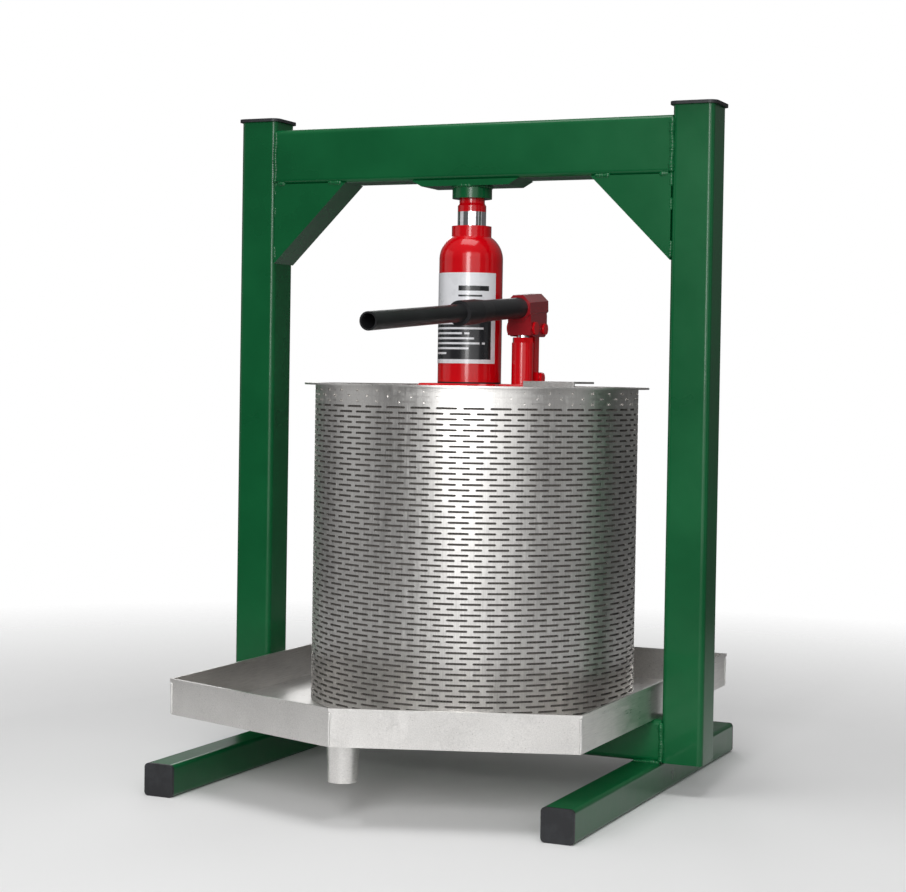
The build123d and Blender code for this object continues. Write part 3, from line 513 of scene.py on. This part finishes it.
def frame_welds():
    """Beads where the tubes, the corner braces and the plates meet, front and back."""
    net = Net()
    beam_lo, beam_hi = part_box("top_beam")
    low_lo, low_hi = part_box("bottom_beam")
    brace_lo, brace_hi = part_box("left_gusset")
    socket_lo, socket_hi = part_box("ram_socket")
    reach = brace_hi.x - brace_lo.x
    seed = 0.0
    for sign in (-1, 1):
        joint_x = sign * beam_hi.x
        for y, into in ((beam_lo.y, 1), (beam_hi.y, -1)):
            face = y + into * SUNK
            seed += 1.7
            bead(net, (joint_x, face, beam_lo.z + 1 * MM), (joint_x, face, beam_hi.z - 2 * MM),
                 3.0 * MM, seed=seed)
            bead(net, (joint_x, face, low_lo.z), (joint_x, face, low_hi.z - 2 * MM),
                 2.9 * MM, seed=seed + 0.6)
            for low, high in ((-0.012, 0.002), (-0.034, -0.022), (-reach + 0.002, -reach + 0.018)):
                bead(net, (joint_x, face + into * 0.6 * MM, beam_lo.z + low),
                     (joint_x, face + into * 0.6 * MM, beam_lo.z + high), 2.3 * MM, seed=seed + high * 90)
            for near, far in ((0.002, 0.012), (reach - 0.020, reach - 0.004)):
                bead(net, (joint_x - sign * near, face, beam_lo.z), (joint_x - sign * far, face, beam_lo.z),
                     2.3 * MM, seed=seed + far * 70)
            bead(net, (joint_x - sign * 1 * MM, y, low_lo.z), (joint_x - sign * 27 * MM, y, low_lo.z),
                 2.2 * MM, seed=seed + 2.1)
    ring_of_beads(net, AXIS, (socket_hi.x - socket_lo.x) / 2, socket_hi.z, 26, 1.6 * MM, 0.7)
    return piece("frame_welds", net.points, net.faces, "frame", "green_paint", LOOKS["green_paint"],
                 sharp=180)


def tray_welds():
    """Bright ground beads up the tray's five corners and round the root of its spout."""
    net = Net()
    low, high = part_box("tray_pan")
    spout_lo, spout_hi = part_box("drain_spout")
    spout = axis_of("drain_spout")
    mesh = NODES["tray_pan"].data
    outer = [v.co for v in mesh.vertices if abs(v.co.z - low.z) < FLAT]
    corners = sorted({(round(c.x, 4), round(c.y, 4)) for c in outer
                      if (Vector((c.x, c.y, 0)) - spout).length > STEM})
    for k, (x, y) in enumerate(corners):
        inward = (Vector((0, AXIS.y, 0)) - Vector((x, y, 0))).normalized() * 0.5 * MM
        x, y = x + inward.x, y + inward.y
        bead(net, (x, y, low.z + 0.5 * MM), (x, y, high.z - 3.2 * MM), 1.3 * MM,
             ripple=3.1 * MM, seed=k * 1.3, lumps=0.04)
    ring_of_beads(net, spout, (spout_hi.x - spout_lo.x) / 2, spout_hi.z, 20, 1.1 * MM, 0.9, lumps=0.04)
    return piece("tray_welds", net.points, net.faces, "tray", "stainless", WELD, sharp=180)


frame_welds()
tray_welds()


# ---- Stage ---------------------------------------------------------------------------
FLOOR_HALF = 4.0
FLOOR_FADE = (0.55, 1.5)  # from solid to clear, by distance from the origin
CAMERA_PLACE = Vector((0.781, -1.786, 0.390))  # from the press axis
CAMERA_TURN, CAMERA_PITCH, CAMERA_ROLL = 0.4201, 0.0231, 0.0162
LENS, LENS_SHIFT = 78.74, -0.0283
WORLD_LIGHT = 0.26
WORLD_RISE = (-0.25, 0.6, 0.12, 1.0)  # the world's grey goes from 0.12 to 1 between these heights
LIT_POINT = AXIS + Vector((0, 0, 0.33))
# name: place from the press axis, width, height, watts
LIGHTS = {
    "key": ((0.55, -2.3, 1.0), 0.55, 1.3, 24),
    "front_panel": ((0.95, -2.1, 0.8), 2.8, 1.6, 18),
    "left_fill": ((-2.2, -0.9, 0.8), 1.6, 1.6, 4),
    "right_fill": ((2.3, 0.1, 0.7), 1.4, 1.4, 1.6),
    "overhead": ((0.0, -0.4, 2.3), 1.4, 1.0, 18),
    "back": ((-1.2, 2.2, 1.4), 1.0, 1.0, 8),
}


def floor():
    """A pale floor that fades into the white surroundings. Metal mirrors it, and it lights nothing."""
    look = Look("pale_floor", Specular_IOR_Level=0.15, Roughness=0.75)
    look.colour(look.blend(look.noise(3, 2), (0.86, 0.86, 0.86, 1), (0.90, 0.90, 0.90, 1)))
    reach = look.node("ShaderNodeVectorMath", operation="LENGTH")
    look.feed(reach.inputs[0], look.place)
    fade = look.spread(reach.outputs["Value"], 0, 1, *FLOOR_FADE)
    clear = look.node("ShaderNodeBsdfTransparent").outputs[0]
    mix = look.node("ShaderNodeMixShader")
    look.feed(mix.inputs[0], fade)
    look.feed(mix.inputs[1], look.shader.outputs[0])
    look.feed(mix.inputs[2], clear)
    look.feed(look.tree.nodes["Material Output"].inputs["Surface"], mix.outputs[0])
    corners = [(x * FLOOR_HALF, y * FLOOR_HALF, 0) for x, y in ((-1, -1), (1, -1), (1, 1), (-1, 1))]
    mesh = bpy.data.meshes.new("floor")
    mesh.from_pydata(corners, [], [(0, 1, 2, 3)])
    made = bpy.data.objects.new("floor", mesh)
    bpy.context.scene.collection.objects.link(made)
    mesh.materials.append(look.material)
    made.visible_diffuse = False


def area_light(name, place, width, height, power):
    data = bpy.data.lights.new(name, "AREA")
    data.shape, data.size, data.size_y = "RECTANGLE", width, height
    data.energy = power
    made = bpy.data.objects.new(name, data)
    made.location = AXIS + Vector(place)
    made.rotation_euler = (LIT_POINT - made.location).to_track_quat("-Z", "Y").to_euler()
    bpy.context.scene.collection.objects.link(made)


def surroundings():
    """White for the camera, and a dimmer grey for what the press reflects."""
    world = bpy.data.worlds.new("studio")
    bpy.context.scene.world = world
    world.use_nodes = True
    tree = world.node_tree
    tree.nodes.clear()
    path = tree.nodes.new("ShaderNodeLightPath")
    grey, white = [tree.nodes.new("ShaderNodeBackground") for _ in range(2)]
    grey.inputs["Strength"].default_value = WORLD_LIGHT
    place = tree.nodes.new("ShaderNodeTexCoord").outputs["Generated"]
    height = tree.nodes.new("ShaderNodeSeparateXYZ")
    tree.links.new(place, height.inputs[0])
    rise = tree.nodes.new("ShaderNodeMapRange")
    for socket, number in zip(("From Min", "From Max", "To Min", "To Max"), WORLD_RISE):
        rise.inputs[socket].default_value = number
    tree.links.new(height.outputs["Z"], rise.inputs["Value"])
    tree.links.new(rise.outputs["Result"], grey.inputs["Color"])
    white.inputs["Color"].default_value = (1.0, 1.0, 1.0, 1)
    white.inputs["Strength"].default_value = 1.0
    mix = tree.nodes.new("ShaderNodeMixShader")
    out = tree.nodes.new("ShaderNodeOutputWorld")
    tree.links.new(path.outputs["Is Camera Ray"], mix.inputs[0])
    tree.links.new(grey.outputs[0], mix.inputs[1])
    tree.links.new(white.outputs[0], mix.inputs[2])
    tree.links.new(mix.outputs[0], out.inputs["Surface"])


def camera():
    turn, pitch, roll = CAMERA_TURN, CAMERA_PITCH, CAMERA_ROLL
    ahead = Vector((-math.sin(turn) * math.cos(pitch), math.cos(turn) * math.cos(pitch), -math.sin(pitch)))
    right = Vector((math.cos(turn), math.sin(turn), 0))
    up = right.cross(ahead)
    right_rolled = right * math.cos(roll) + up * math.sin(roll)
    up_rolled = up * math.cos(roll) - right * math.sin(roll)
    data = bpy.data.cameras.new("camera")
    data.sensor_fit, data.sensor_width, data.lens = "HORIZONTAL", 36.0, LENS
    data.shift_y = LENS_SHIFT
    made = bpy.data.objects.new("camera", data)
    turned = Matrix((right_rolled, up_rolled, -ahead)).transposed().to_4x4()
    made.matrix_world = Matrix.Translation(AXIS + CAMERA_PLACE) @ turned
    bpy.context.scene.collection.objects.link(made)
    bpy.context.scene.camera = made


floor()
surroundings()
for light, settings in LIGHTS.items():
    area_light(light, *settings)
camera()
bpy.context.scene.view_settings.view_transform = "Standard"
